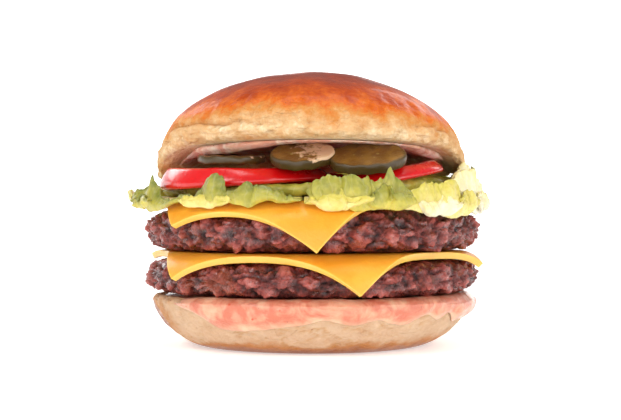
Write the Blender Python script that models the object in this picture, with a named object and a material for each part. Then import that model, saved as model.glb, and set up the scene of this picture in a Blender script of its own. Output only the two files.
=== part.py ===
"""A double cheeseburger that stands on the flat base of its heel.

Frame: the origin is the middle of that base, +Z is up and -Y is the front, where the crown is
propped open. All lengths in this file are millimetres and all azimuths are degrees round +Z,
counted from the front and positive to the right. make_object() turns the lengths into metres.
"""

import math

import bmesh
import bpy
from mathutils import Vector, noise

METRES = 0.001
GAP = 0.3  # clearance between two layers that touch

# Heel: the bottom half of the bun
HEEL_RADIUS = 54.4
HEEL_BASE_RADIUS = 36.0
HEEL_HEIGHT = 16.6
HEEL_ROUND = 1.29  # 1 would make its wall an ellipse, and more makes it slope
HEEL_LIP = 1.0  # how far its rim curls up round the patty

# Pink sauce between the heel and the lower patty
SAUCE_DEPTH = 1.1
SAUCE_RINGS = 8  # three on the flat, one on the rim and the rest down the wall

# Patties
PATTY_RADIUS = 56.7
PATTY_SHOULDER = 48.7  # where the rounded edge starts
PATTY_LOWER_DEPTH = 11.2
PATTY_UPPER_DEPTH = 13.5
PATTY_CRAG = 1.8  # how deep the torn edge is cut

# Cheese slices, which bend over the patty's shoulder
CHEESE_DEPTH = 2.2
CHEESE_BEND_START = 50.9
CHEESE_BEND_RADIUS = 9.6
CHEESE_HANG = math.radians(80)
CHEESE_PULL = 2.2  # how far an edge draws in between two corners

# The corners of each slice as azimuth and distance from the middle, before it bends
UPPER_SLICE = [(1.7, 70.5), (72, 56.0), (148, 63), (-152, 61), (-98, 56), (-45.5, 63)]
LOWER_SLICE = [(14, 67), (78, 59.6), (152, 62), (-148, 64), (-99, 56), (-45.5, 63)]

# Crown: the top half of the bun, tipped back, with sides that sag beside the filling
CROWN_RADIUS = 52.5
CROWN_HEIGHT = 29.0
CROWN_WIDEST = 3.6  # height of its widest ring above its cut face
CROWN_ROUND = 1.163  # 1 would make the dome an ellipse, and more makes its shoulders slope
CROWN_SEAT = 63.6  # height of the middle of its cut face, without the hollow
CROWN_HOLLOW = 4.0  # how far the cut face arches up over the pickles
CROWN_TIP_BACK = 4.2  # how much higher the cut face is at the front edge
CROWN_SAG = {-101: 10.6, 101: 7.0}  # azimuth of each sagging side and how far it sags
CROWN_SAG_SPREAD = 50  # degrees to where the sag has faded out
CROWN_LEAN = -0.8  # sideways bulge at half height
CROWN_SHIFT = 0.5  # how far it sits to the right
CROWN_SAUCE_DEPTH = 0.8
CROWN_SAUCE_RADIUS = 43.4

# Heights of the stack, each layer resting on the one below
LOWER_PATTY_BASE = HEEL_HEIGHT + SAUCE_DEPTH + 2 * GAP
LOWER_CHEESE_BASE = LOWER_PATTY_BASE + PATTY_LOWER_DEPTH + 2 * GAP
UPPER_PATTY_BASE = LOWER_CHEESE_BASE + CHEESE_DEPTH + GAP
UPPER_CHEESE_BASE = UPPER_PATTY_BASE + PATTY_UPPER_DEPTH + 2 * GAP
LETTUCE_BASE = UPPER_CHEESE_BASE + CHEESE_DEPTH + GAP

LEAF_DEPTH = 1.1
LEAF_BED = LETTUCE_BASE + 0.9  # middle of a leaf where it lies flat

ROUND_STEPS = 36
SEAT_RINGS = [0, 12, 24, 34, 41]  # rings that the crown's cut face shares with the sauce under it

COLOURS = {  # base colour, roughness
    "bun": ((0.80, 0.46, 0.17), 0.45),
    "sauce": ((0.86, 0.42, 0.27), 0.30),
    "meat": ((0.19, 0.075, 0.06), 0.50),
    "cheese": ((0.95, 0.52, 0.08), 0.40),
    "lettuce": ((0.50, 0.62, 0.12), 0.45),
    "rib": ((0.76, 0.78, 0.55), 0.40),
    "tomato": ((0.75, 0.02, 0.02), 0.25),
    "pickle": ((0.28, 0.25, 0.04), 0.30),
}


# ---------------------------------------------------------------- helpers


def smooth(value, low, high):
    """0 below low, 1 above high and an even S-curve between them."""
    share = min(1.0, max(0.0, (value - low) / (high - low)))
    return share * share * (3 - 2 * share)


def bearing(x, y):
    """Azimuth of a point, in degrees from the front."""
    return math.degrees(math.atan2(x, -y))


def at_azimuth(azimuth, radius, height):
    turn = math.radians(azimuth)
    return Vector((radius * math.sin(turn), -radius * math.cos(turn), height))


def apart(azimuth, centre):
    """Degrees between two azimuths, the short way round."""
    return abs((azimuth - centre + 180) % 360 - 180)


def material(kind):
    if kind in bpy.data.materials:
        return bpy.data.materials[kind]
    (red, green, blue), roughness = COLOURS[kind]
    made = bpy.data.materials.new(kind)
    made.use_nodes = True
    shader = made.node_tree.nodes["Principled BSDF"]
    shader.inputs["Base Color"].default_value = (red, green, blue, 1)
    shader.inputs["Roughness"].default_value = roughness
    shader.inputs["Metallic"].default_value = 0
    made.diffuse_color = (red, green, blue, 1)
    return made


def make_object(name, bm, kind, parent, place=(0, 0, 0), tilt=(0, 0, 0)):
    """Turns a bmesh in millimetres into a smooth-shaded object in metres, tilted in degrees."""
    bmesh.ops.recalc_face_normals(bm, faces=bm.faces)
    if bm.calc_volume(signed=True) < 0:
        bmesh.ops.reverse_faces(bm, faces=bm.faces)
    bmesh.ops.scale(bm, verts=bm.verts, vec=(METRES,) * 3)
    mesh = bpy.data.meshes.new(name)
    bm.to_mesh(mesh)
    bm.free()
    mesh.shade_smooth()
    mesh.set_sharp_from_angle(angle=math.radians(50))
    mesh.materials.append(material(kind))
    made = bpy.data.objects.new(name, mesh)
    bpy.context.scene.collection.objects.link(made)
    made.parent = parent
    made.location = Vector(place) * METRES
    made.rotation_euler = [math.radians(angle) for angle in tilt]
    return made


def turned(profile, steps=ROUND_STEPS):
    """A closed solid of revolution from (radius, height) points that start and end on the axis."""
    bm = bmesh.new()
    verts = [bm.verts.new((radius, 0, height)) for radius, height in profile]
    edges = [bm.edges.new(pair) for pair in zip(verts, verts[1:])]
    bmesh.ops.spin(bm, geom=verts + edges, axis=(0, 0, 1), angle=math.tau, steps=steps, use_merge=True)
    bmesh.ops.remove_doubles(bm, verts=bm.verts, dist=0.001)
    return bm


def reshape(bm, move):
    """Moves each point to move(azimuth, radius, height)."""
    for vert in bm.verts:
        x, y, z = vert.co
        vert.co = move(bearing(x, y), math.hypot(x, y), z)
    return bm


def thickened(bm, depth, lift=0.5):
    """Gives an open sheet its thickness, with this share of it above the sheet."""
    bm.normal_update()
    if sum(face.normal.z * face.calc_area() for face in bm.faces) < 0:
        bmesh.ops.reverse_faces(bm, faces=bm.faces)
        bm.normal_update()
    for vert in bm.verts:
        vert.co += vert.normal * depth * lift
    bmesh.ops.solidify(bm, geom=bm.faces, thickness=depth)
    return bm


# ---------------------------------------------------------------- bun


def heel_side(share):
    """(radius, height) on the heel's outer wall: 0 is its foot and 1 its rim."""
    angle = share * math.pi / 2
    radius = HEEL_BASE_RADIUS + (HEEL_RADIUS - HEEL_BASE_RADIUS) * math.sin(angle) ** HEEL_ROUND
    return radius, (HEEL_HEIGHT - 0.4) * (1 - math.cos(angle) ** HEEL_ROUND)


def heel_swell(azimuth):
    """How much wider than round the heel is at an azimuth, as a factor."""
    turn = math.radians(azimuth)
    return 1 + 0.008 * math.sin(2 * turn + 0.6) + 0.005 * math.sin(5 * turn)


def add_heel(parent):
    wall = [heel_side(step / 7) for step in range(8)]
    rim = [(HEEL_RADIUS - 1.2, HEEL_HEIGHT + HEEL_LIP), (HEEL_RADIUS - 5, HEEL_HEIGHT)]
    bm = turned([(0, 0), (HEEL_BASE_RADIUS * 0.6, 0), *wall, *rim, (0, HEEL_HEIGHT)])

    def move(azimuth, radius, height):
        swell = 1 + (heel_swell(azimuth) - 1) * smooth(radius, 20, HEEL_BASE_RADIUS)
        return at_azimuth(azimuth, radius * swell, height)

    make_object("heel", reshape(bm, move), "bun", parent)


def crown_level(y):
    return CROWN_SEAT - CROWN_TIP_BACK * y / CROWN_RADIUS


def crown_seat(x, y):
    """Height of the crown's cut face, which arches over the filling and sags at its sides."""
    azimuth, out = bearing(x, y), min(1.0, math.hypot(x, y) / CROWN_RADIUS)
    sag = sum(depth * (1 - smooth(apart(azimuth, side), 8, CROWN_SAG_SPREAD))
              for side, depth in CROWN_SAG.items())
    return crown_level(y) + CROWN_HOLLOW * (1 - out**2) - sag * out**6


def add_crown(parent):
    rim = [(CROWN_RADIUS - 6.5, 0), (CROWN_RADIUS - 2.6, 0.5), (CROWN_RADIUS - 0.7, 1.9)]
    dome = []
    for step in range(11):
        angle = step / 10 * math.pi / 2
        rise = CROWN_HEIGHT - CROWN_WIDEST
        radius = CROWN_RADIUS * math.cos(angle) ** CROWN_ROUND
        dome.append((radius, CROWN_WIDEST + rise * math.sin(angle) ** CROWN_ROUND))
    dome[-1] = (0, CROWN_HEIGHT)
    bm = turned([(radius, 0) for radius in SEAT_RINGS] + rim + dome)

    def move(azimuth, radius, height):
        wide = 1 + 0.006 * math.sin(math.radians(3 * azimuth)) * smooth(radius, SEAT_RINGS[-1], CROWN_RADIUS)
        spot = at_azimuth(azimuth, radius * wide, 0)
        level = crown_level(spot.y)
        seat = crown_seat(spot.x, spot.y)
        spot.z = height + level + (seat - level) * (1 - height / CROWN_HEIGHT) ** 1.5
        spot.x += CROWN_SHIFT + CROWN_LEAN * math.sin(math.pi * height / CROWN_HEIGHT)
        return spot

    make_object("crown", reshape(bm, move), "bun", parent)


# ---------------------------------------------------------------- sauces


def drip_length(azimuth):
    """How far down the heel's wall the sauce runs at an azimuth."""
    turn = math.radians(azimuth)
    length = 3.0 + 0.8 * math.sin(5 * turn + 1) + 0.5 * math.sin(9 * turn)
    length += 4.6 * (1 - smooth(apart(azimuth, -20), 12, 38))
    length += 2.6 * (1 - smooth(apart(azimuth, 64), 8, 22))
    length += 3.0 * (1 - smooth(apart(azimuth, 165), 10, 30))
    return length - 1.9 * (1 - smooth(apart(azimuth, -84), 14, 34))


def drip_bulge(azimuth):
    """Extra thickness of the sauce on the wall, where it hangs in a fat roll on the right."""
    return 1.3 * (1 - smooth(apart(azimuth, 68), 8, 24)) - 0.6 * (1 - smooth(apart(azimuth, -84), 14, 34))


def sauce_path(ring, azimuth):
    """Where a ring of the sauce sits on the heel, and the (out, up) direction it thickens in."""
    if ring < 3:
        return (ring * 0.45 * HEEL_RADIUS, HEEL_HEIGHT), (0.0, 1.0)
    if ring == 3:
        return (HEEL_RADIUS - 1.2, HEEL_HEIGHT + HEEL_LIP), (0.4, 0.6)
    down = (ring - 4) / (SAUCE_RINGS - 5)
    return heel_side(1 - 0.055 * down * drip_length(azimuth)), (0.97, 0.25)


def add_heel_sauce(parent):
    """Each point starts with the number of its ring as its radius and 0 or 1, its side, as its height."""
    rings = range(SAUCE_RINGS)
    bm = turned([(ring, 0) for ring in rings] + [(ring, 1) for ring in reversed(rings)])

    def move(azimuth, ring, side):
        ring = round(ring)
        (radius, height), (out, up) = sauce_path(ring, azimuth)
        down = max(0, ring - 4) / (SAUCE_RINGS - 5)
        fat = SAUCE_DEPTH + drip_bulge(azimuth) * math.sin(math.pi * down**0.8)
        fat *= 1 - 0.55 * down**3
        lift = (GAP if ring < 3 else 2 * GAP) + fat * side
        swell = 1 + (heel_swell(azimuth) - 1) * smooth(radius, 20, HEEL_BASE_RADIUS)
        return at_azimuth(azimuth, radius * swell + out * lift, height + up * lift)

    make_object("heel_sauce", reshape(bm, move), "sauce", parent)


def add_crown_sauce(parent):
    edge = [(CROWN_SAUCE_RADIUS, 0.3), (CROWN_SAUCE_RADIUS, 0.8)]
    bm = turned([(at, 0) for at in SEAT_RINGS] + edge + [(at, 1) for at in reversed(SEAT_RINGS)])

    def move(azimuth, radius, side):
        turn = math.radians(azimuth)
        edge = 1 + (0.018 * math.sin(5 * turn) + 0.015 * math.sin(3 * turn + 2)) * smooth(radius, 41, 46)
        spot = at_azimuth(azimuth, radius * edge, 0)
        spot.z = crown_seat(spot.x, spot.y) - GAP - CROWN_SAUCE_DEPTH * (1 - side)
        spot.x += CROWN_SHIFT
        return spot

    make_object("crown_sauce", reshape(bm, move), "sauce", parent)


# ---------------------------------------------------------------- patties and cheese


def patty_outline(azimuth):
    """How much wider than round the patties and their cheese are at an azimuth, as a factor."""
    turn = math.radians(azimuth)
    return 1 + 0.008 * math.sin(2 * turn + 1) + 0.005 * math.sin(3 * turn + 2)


def add_patty(name, base, depth, seed, parent):
    edge = []
    for step in range(7):  # the rounded edge, from its bottom to its top
        angle = math.pi * (step / 6 - 0.5)
        bulge = (PATTY_RADIUS - PATTY_SHOULDER) * math.cos(angle)
        edge.append((PATTY_SHOULDER + bulge, depth * (0.5 + 0.5 * math.sin(angle))))
    bm = turned([(0, 0), (28, 0), *edge, (28, depth), (0, depth)], steps=44)

    def move(azimuth, radius, height):
        spot = at_azimuth(azimuth, radius, height + 40 * seed)
        torn = 0.62 * noise.noise(spot * 0.14) + 0.38 * noise.noise(spot * 0.33)
        share = smooth(radius, PATTY_SHOULDER, PATTY_RADIUS - 2)
        cut = PATTY_CRAG * share * (0.5 - 0.9 * torn)
        return at_azimuth(azimuth, radius * patty_outline(azimuth) - max(0, cut), height)

    make_object(name, reshape(bm, move), "meat", parent, place=(0, 0, base))


def draped(x, y):
    """Where a slice's point comes to lie once the slice has bent over the patty's shoulder."""
    far = math.hypot(x, y)
    over = max(0.0, far - CHEESE_BEND_START)
    bend = min(over / CHEESE_BEND_RADIUS, CHEESE_HANG)
    straight = over - bend * CHEESE_BEND_RADIUS
    out = CHEESE_BEND_RADIUS * math.sin(bend) + straight * math.cos(CHEESE_HANG)
    drop = CHEESE_BEND_RADIUS * (1 - math.cos(bend)) + straight * math.sin(CHEESE_HANG)
    azimuth = bearing(x, y)
    reach = (min(far, CHEESE_BEND_START) + out) * patty_outline(azimuth)
    return at_azimuth(azimuth, reach, -drop)


def slice_outline(corners, steps=5):
    """Points round the edge of a flat slice, which draws in a little between its corners."""
    points = []
    for first, second in zip(corners, corners[1:] + corners[:1]):
        start, end = at_azimuth(*first, 0), at_azimuth(*second, 0)
        for step in range(steps):
            spot = start.lerp(end, step / steps)
            points.append(spot * (1 - CHEESE_PULL * math.sin(math.pi * step / steps) / spot.length))
    return points


def add_cheese(name, base, corners, parent):
    """Rings run in from the outline to where the slice lies flat, and one face caps the middle."""
    bm = bmesh.new()
    verts = [bm.verts.new(point) for point in slice_outline(corners)]
    edges = [bm.edges.new(pair) for pair in zip(verts, verts[1:] + verts[:1])]
    bands, flat = 4, CHEESE_BEND_START * 0.94
    outline = [vert.co.copy() for vert in verts]
    for band in range(1, bands + 1):
        grown = bmesh.ops.extrude_edge_only(bm, edges=edges)["geom"]
        ring = [item for item in grown if isinstance(item, bmesh.types.BMVert)]
        edges = [item for item in grown
                 if isinstance(item, bmesh.types.BMEdge) and all(vert in ring for vert in item.verts)]
        for vert in ring:
            edge_spot = min(outline, key=lambda spot: (spot.normalized() - vert.co.normalized()).length)
            far = edge_spot.length
            vert.co = edge_spot * ((far + (min(flat, far * 0.85) - far) * band / bands) / far)
    bmesh.ops.contextual_create(bm, geom=edges)
    for vert in bm.verts:
        vert.co = draped(vert.co.x, vert.co.y)
    make_object(name, thickened(bm, CHEESE_DEPTH, lift=1), "cheese", parent, place=(0, 0, base))


# ---------------------------------------------------------------- salad


def add_tomato(name, centre, radius, base, depth, tilt, wedge, parent):
    """A slice with a skin that bulges and narrows upward. wedge is how much thinner it is on its right."""
    wall = []
    for step in range(4):
        share = step / 3
        wall.append((radius - 3.2 * share**1.6 - 0.7 * (1 - share) ** 6, depth * share))
    bm = turned([(0, 0), (radius * 0.55, 0), *wall, (radius * 0.5, depth), (0, depth)], steps=28)
    for vert in bm.verts:
        vert.co.z += wedge * (1 - vert.co.z / depth) * (vert.co.x / radius)
    make_object(name, bm, "tomato", parent, place=(*centre, base), tilt=tilt)


def add_pickle(name, centre, radius, base, tilt, parent, depth=2.4, oval=1.0):
    """A crinkle-cut slice: both faces carry the same waves. oval is its depth over its width."""
    bm = turned([(0, 0), (radius * 0.5, 0), (radius - 0.5, 0), (radius, 0.6), (radius, depth - 0.6),
                 (radius - 0.5, depth), (radius * 0.5, depth), (0, depth)], steps=20)
    for vert in bm.verts:
        vert.co.y *= oval
        vert.co.z += 0.22 * math.sin(vert.co.x * math.tau / 5.2)
    make_object(name, bm, "pickle", parent, place=(*centre, base), tilt=tilt)


def add_leaf(name, span, inner, fold, reach, rise, lean, waves, ruffle, kind, parent, phase=0.0, bed=LEAF_BED):
    """A torn leaf between the two azimuths of its span. It lies flat from inner to fold, then its
    frilled rim runs out to reach. The rim rises by rise, more on its left where lean is positive,
    and ruffles up and down in a number of waves."""
    across, along = 10, 4
    start, end = span
    bm = bmesh.new()
    bmesh.ops.create_grid(bm, x_segments=across, y_segments=along, size=0.5)
    for vert in bm.verts:
        u, v = vert.co.x + 0.5, vert.co.y + 0.5
        rim = max(0.0, (v - 0.45) / 0.55)
        turn = math.tau * waves * u + phase
        taper = math.sin(math.pi * (0.12 + 0.76 * u)) ** 0.5
        radius = inner + (fold - inner) * min(1.0, v / 0.45) + (reach - fold) * taper * rim**0.7
        radius += 0.7 * math.cos(turn) * rim
        height = bed + (rise + lean * (0.5 - u)) * taper * rim**1.3 + ruffle * math.sin(turn) * rim**1.4
        vert.co = at_azimuth(start + (end - start) * u, radius, height)
    make_object(name, thickened(bm, LEAF_DEPTH), kind, parent)


# ---------------------------------------------------------------- the whole burger


def add_salad(parent):
    add_leaf("lettuce_left_rib", (-106, -76), 26, 54, 61.2, 1.2, 0, 0.5, 0.5, "rib", parent)
    add_leaf("lettuce_left_curl", (-74, -46), 28, 58.8, 61.4, 3.2, 4, 1.5, 1.8, "lettuce", parent, 3.4)
    add_leaf("lettuce_left_frill", (-44, -5), 40, 58.8, 61.2, 3.4, 0, 2.5, 2.2, "lettuce", parent, 0.6)
    add_leaf("lettuce_front_fold", (-3, 30), 42, 58.8, 61.4, 4.2, -2, 1.5, 2.4, "lettuce", parent, 2.6)
    add_leaf("lettuce_right_curl", (32, 54), 44, 60.0, 61.9, 1.6, -3, 1.5, 3.2, "lettuce", parent, 2.4)
    add_leaf("lettuce_right_rib", (56, 82), 40, 58.6, 60.6, 3.6, 7, 1.0, 1.4, "rib", parent, 0.4)
    add_leaf("lettuce_right_tip", (84, 116), 28, 56.0, 59.8, 4.6, 4, 1.0, 1.6, "lettuce", parent, 2.0)
    add_leaf("lettuce_back_right", (118, 158), 22, 58.0, 61.0, 3.0, 0, 2.5, 1.8, "lettuce", parent, 0.4)
    add_leaf("lettuce_back_middle", (160, 204), 22, 58.0, 61.0, 3.2, 0, 2.0, 1.8, "lettuce", parent, 2.2)
    add_leaf("lettuce_back_left", (206, 252), 22, 58.0, 61.0, 3.2, 0, 3.0, 1.6, "lettuce", parent, 1.1)

    add_leaf("lettuce_inner_rib", (42, 102), 26, 40, 57, 4.4, 0, 1.0, 0.9, "rib", parent, 1.0, LEAF_BED + 1.7)

    add_tomato("tomato_left", (-21.5, -19), 28.5, 54.4, 5.4, (1.5, 0, 0), 1.8, parent)
    add_tomato("tomato_right", (20, -21), 25.0, 54.1, 4.3, (1.5, -11, 0), 0.0, parent)
    add_tomato("tomato_back", (0, 31), 20.5, 53.3, 4.4, (-4.9, 0, 0), 0.0, parent)

    add_pickle("pickle_left", (-25.5, -32), 11.2, 61.2, (4, 0, 0), parent)
    add_pickle("pickle_middle", (-2.5, -39.6), 9.4, 62.0, (23, -5, 8), parent, depth=2.8, oval=0.75)
    add_pickle("pickle_right", (18.5, -40.2), 11.2, 61.2, (25, 0, -10), parent, depth=2.8, oval=0.7)


def main():
    for old in list(bpy.data.objects):
        bpy.data.objects.remove(old)
    burger = bpy.data.objects.new("burger", None)
    bpy.context.scene.collection.objects.link(burger)

    add_heel(burger)
    add_heel_sauce(burger)
    add_patty("patty_lower", LOWER_PATTY_BASE, PATTY_LOWER_DEPTH, 1, burger)
    add_cheese("cheese_lower", LOWER_CHEESE_BASE, LOWER_SLICE, burger)
    add_patty("patty_upper", UPPER_PATTY_BASE, PATTY_UPPER_DEPTH, 2, burger)
    add_cheese("cheese_upper", UPPER_CHEESE_BASE, UPPER_SLICE, burger)
    add_salad(burger)
    add_crown_sauce(burger)
    add_crown(burger)


main()
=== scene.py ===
import math

import bmesh
import bpy
from mathutils import Euler, Matrix, Vector, noise


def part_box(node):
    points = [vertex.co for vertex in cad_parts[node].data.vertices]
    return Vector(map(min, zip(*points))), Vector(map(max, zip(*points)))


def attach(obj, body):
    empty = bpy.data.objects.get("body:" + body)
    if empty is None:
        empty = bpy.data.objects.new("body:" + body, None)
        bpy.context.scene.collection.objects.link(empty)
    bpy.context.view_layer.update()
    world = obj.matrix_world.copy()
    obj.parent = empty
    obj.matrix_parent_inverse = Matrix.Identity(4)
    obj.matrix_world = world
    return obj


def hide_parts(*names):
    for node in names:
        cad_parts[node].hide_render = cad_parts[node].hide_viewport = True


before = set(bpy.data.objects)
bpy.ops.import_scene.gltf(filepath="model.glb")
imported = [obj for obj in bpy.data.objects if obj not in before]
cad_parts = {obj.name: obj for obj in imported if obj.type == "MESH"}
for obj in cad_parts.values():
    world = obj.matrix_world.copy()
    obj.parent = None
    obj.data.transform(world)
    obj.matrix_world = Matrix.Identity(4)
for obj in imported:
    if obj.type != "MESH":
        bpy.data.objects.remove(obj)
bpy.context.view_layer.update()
noise.seed_set(11)  # noise vectors are drawn from the clock otherwise
print("frame loaded")

# Lengths below are millimetres and azimuths are degrees, counted from the front (-Y) to the right.
toMetres = 0.001
dense = 1.0  # share of the full number of points
mergeDistance = 0.0005


def ease(value, low, high):
    share = min(1.0, max(0.0, (value - low) / (high - low)))
    return share * share * (3 - 2 * share)


def bearing(x, y):
    return math.degrees(math.atan2(x, -y))


def polar(spot):
    # a point's azimuth and its distance from the upright axis
    return bearing(spot.x, spot.y), math.hypot(spot.x, spot.y)


def apart(azimuth, centre):
    return abs((azimuth - centre + 180) % 360 - 180)


def near(azimuth, centre, spread):
    # 1 at the centre, falling off like a bell over this many degrees
    return math.exp(-(apart(azimuth, centre) / spread) ** 2)


def atAzimuth(azimuth, radius, height):
    turn = math.radians(azimuth)
    return Vector((radius * math.sin(turn), -radius * math.cos(turn), height))


def cloud(spot, size, octaves=3, seed=0.0):
    # soft noise, about -1 to 1, whose lumps are this many millimetres across
    place = Vector(spot) / size + Vector((seed, 2.7 * seed, -seed))
    return noise.fractal(place, 0.9, 2.1, octaves)


def pebbles(spot, size, seed=0.0):
    # 1 in the middle of a rounded lump and 0 in the cleft between lumps
    place = Vector(spot) / size + Vector((seed, -seed, 1.7 * seed))
    place += 0.55 * noise.noise_vector(place * 1.1)
    first, second = noise.voronoi(place)[0][:2]
    return min(1.0, max(0.0, (second - first) * 1.6)) ** 0.8


def boxOf(node):
    low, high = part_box(node)
    return Vector(low) / toMetres, Vector(high) / toMetres


def smoothPath(points, share):
    # a point on the soft curve through these (out, up) points, share running from 0 to 1
    place = min(share, 0.9999) * (len(points) - 1)
    at = int(place)
    step = place - at
    p0, p1 = points[max(at - 1, 0)], points[at]
    p2, p3 = points[at + 1], points[min(at + 2, len(points) - 1)]
    spot = []
    for a, b, c, d in zip(p0, p1, p2, p3):
        bend = (2 * a - 5 * b + 4 * c - d) * step + (3 * b - a - 3 * c + d) * step * step
        spot.append(b + 0.5 * step * ((c - a) + bend))
    return spot


def spun(profile, steps):
    # turns a profile of (out, up) points round the upright axis
    bm = bmesh.new()
    steps = int(steps * dense)
    verts = [bm.verts.new((out, 0, up)) for out, up in profile]
    edges = [bm.edges.new(pair) for pair in zip(verts, verts[1:])]
    bmesh.ops.spin(bm, geom=verts + edges, axis=(0, 0, 1), angle=math.tau, steps=steps,
                   use_merge=True)
    bmesh.ops.remove_doubles(bm, verts=bm.verts, dist=mergeDistance)
    bmesh.ops.recalc_face_normals(bm, faces=bm.faces)
    return bm


def pushed(bm, amount):
    # moves each point along its normal by amount(vert), all measured before any moves
    bm.normal_update()
    moves = [(vert, vert.normal * amount(vert)) for vert in bm.verts]
    for vert, move in moves:
        vert.co += move


def walled(bm, depth):
    # gives a sheet its thickness, all of it above the sheet
    bm.normal_update()
    if sum(face.normal.z * face.calc_area() for face in bm.faces) < 0:
        bmesh.ops.reverse_faces(bm, faces=bm.faces)
        bm.normal_update()
    for vert in bm.verts:
        vert.co += vert.normal * depth
    bmesh.ops.solidify(bm, geom=bm.faces, thickness=depth)


def pieceName(node):
    words = node.split("_")
    return words[0] + "".join(word.capitalize() for word in words[1:])


def finished(name, bm, finish, nodes, closed=True):
    # the mesh in metres, as a piece of its own that stands for these nodes
    if closed:
        bmesh.ops.recalc_face_normals(bm, faces=bm.faces)
        if bm.calc_volume(signed=True) < 0:
            bmesh.ops.reverse_faces(bm, faces=bm.faces)
    # merging can leave parts in a chance order, so all of them are sorted by place
    places = ((bm.verts, lambda vert: vert.co),
              (bm.edges, lambda edge: edge.verts[0].co + edge.verts[1].co),
              (bm.faces, bmesh.types.BMFace.calc_center_median))
    for parts, spot in places:
        for order, part in enumerate(sorted(parts, key=lambda part: tuple(spot(part)))):
            part.index = order
        parts.sort()
    bmesh.ops.scale(bm, verts=bm.verts, vec=(toMetres,) * 3)
    mesh = bpy.data.meshes.new(name)
    bm.to_mesh(mesh)
    bm.free()
    mesh.shade_smooth()
    mesh.materials.append(finish)
    piece = bpy.data.objects.new(name, mesh)
    bpy.context.scene.collection.objects.link(piece)
    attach(piece, "root")
    if nodes:
        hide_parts(*nodes)
    return piece


def tint(red, green, blue):
    # a screen colour, 0 to 255, as the linear colour that the shader takes
    def line(part):
        part /= 255
        return part / 12.92 if part <= 0.04045 else ((part + 0.055) / 1.055) ** 2.4
    return (line(red), line(green), line(blue), 1.0)


class Wire:
    # one output socket; Python's operators on it add Math nodes

    def __init__(self, shop, socket):
        self.shop, self.socket = shop, socket

    def maths(self, operation, first, second):
        return self.shop.add("ShaderNodeMath", {"operation": operation}, {0: first, 1: second})

    def __add__(self, other):
        return self.maths("ADD", self, other)

    def __radd__(self, other):
        return self.maths("ADD", other, self)

    def __sub__(self, other):
        return self.maths("SUBTRACT", self, other)

    def __rsub__(self, other):
        return self.maths("SUBTRACT", other, self)

    def __mul__(self, other):
        return self.maths("MULTIPLY", self, other)

    def __rmul__(self, other):
        return self.maths("MULTIPLY", other, self)


class Shop:
    # the node tree of one material

    def __init__(self, name, **fixed):
        self.finish = bpy.data.materials.new(name)
        self.finish.use_nodes = True
        self.tree = self.finish.node_tree
        self.surface = self.tree.nodes["Principled BSDF"]
        for socket, value in fixed.items():
            self.surface.inputs[socket.replace("_", " ")].default_value = value

    def add(self, kind, settings, sockets, out=0):
        made = self.tree.nodes.new(kind)
        for key, value in settings.items():
            if key == "stops":
                ramp = made.color_ramp
                while len(ramp.elements) < len(value):
                    ramp.elements.new(0.5)
                for element, (place, colour) in zip(ramp.elements, value):
                    element.position = place
                    element.color = colour
            else:
                setattr(made, key, value)
        for key, value in sockets.items():
            if isinstance(value, Wire):
                self.tree.links.new(value.socket, made.inputs[key])
            else:
                made.inputs[key].default_value = value
        return Wire(self, made.outputs[out])

    def place(self, stretch=(1, 1, 1)):
        # the spot on the object in millimetres, squeezed by stretch
        here = self.add("ShaderNodeTexCoord", {}, {}, "Object")
        scale = [part / toMetres for part in stretch]
        return self.add("ShaderNodeMapping", {}, {"Vector": here, "Scale": scale})

    def clouds(self, size, detail=3.0, rough=0.55, stretch=(1, 1, 1), warp=0.0):
        sockets = {"Vector": self.place(stretch), "Scale": 1 / size, "Detail": detail,
                   "Roughness": rough, "Distortion": warp}
        return self.add("ShaderNodeTexNoise", {}, sockets)

    def cells(self, size, feature="F1", stretch=(1, 1, 1), **sockets):
        sockets = {"Vector": self.place(stretch), "Scale": 1 / size, **sockets}
        return self.add("ShaderNodeTexVoronoi", {"feature": feature}, sockets)

    def painted(self, name):
        return self.add("ShaderNodeAttribute", {"attribute_name": name}, {}, "Fac")

    def ramp(self, value, stops):
        return self.add("ShaderNodeValToRGB", {"stops": stops}, {0: value})

    def step(self, value, low, high):
        # 0 below low and 1 above high
        return self.add("ShaderNodeMapRange", {"interpolation_type": "SMOOTHSTEP"},
                        {"Value": value, "From Min": low, "From Max": high})

    def mix(self, share, first, second):
        return self.add("ShaderNodeMix", {"data_type": "RGBA"}, {0: share, 6: first, 7: second}, 2)

    def bump(self, height, depth, under=None):
        # depth is in millimetres
        sockets = {"Height": height, "Distance": depth * toMetres, "Strength": 1.0}
        if under:
            sockets["Normal"] = under
        return self.add("ShaderNodeBump", {}, sockets)

    def wear(self, **sockets):
        for socket, wire in sockets.items():
            self.tree.links.new(wire.socket, self.surface.inputs[socket.replace("_", " ")])
        return self.finish


heelLook = {
    "baseRadius": 36.0, "radius": 54.4, "face": 16.6, "slope": 1.29,
    "wallSteps": 44, "lipSteps": 14,
    "cream": tint(201, 164, 131), "pale": tint(213, 183, 152), "golden": tint(187, 127, 76),
    "brown": tint(146, 80, 34),
}


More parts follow.
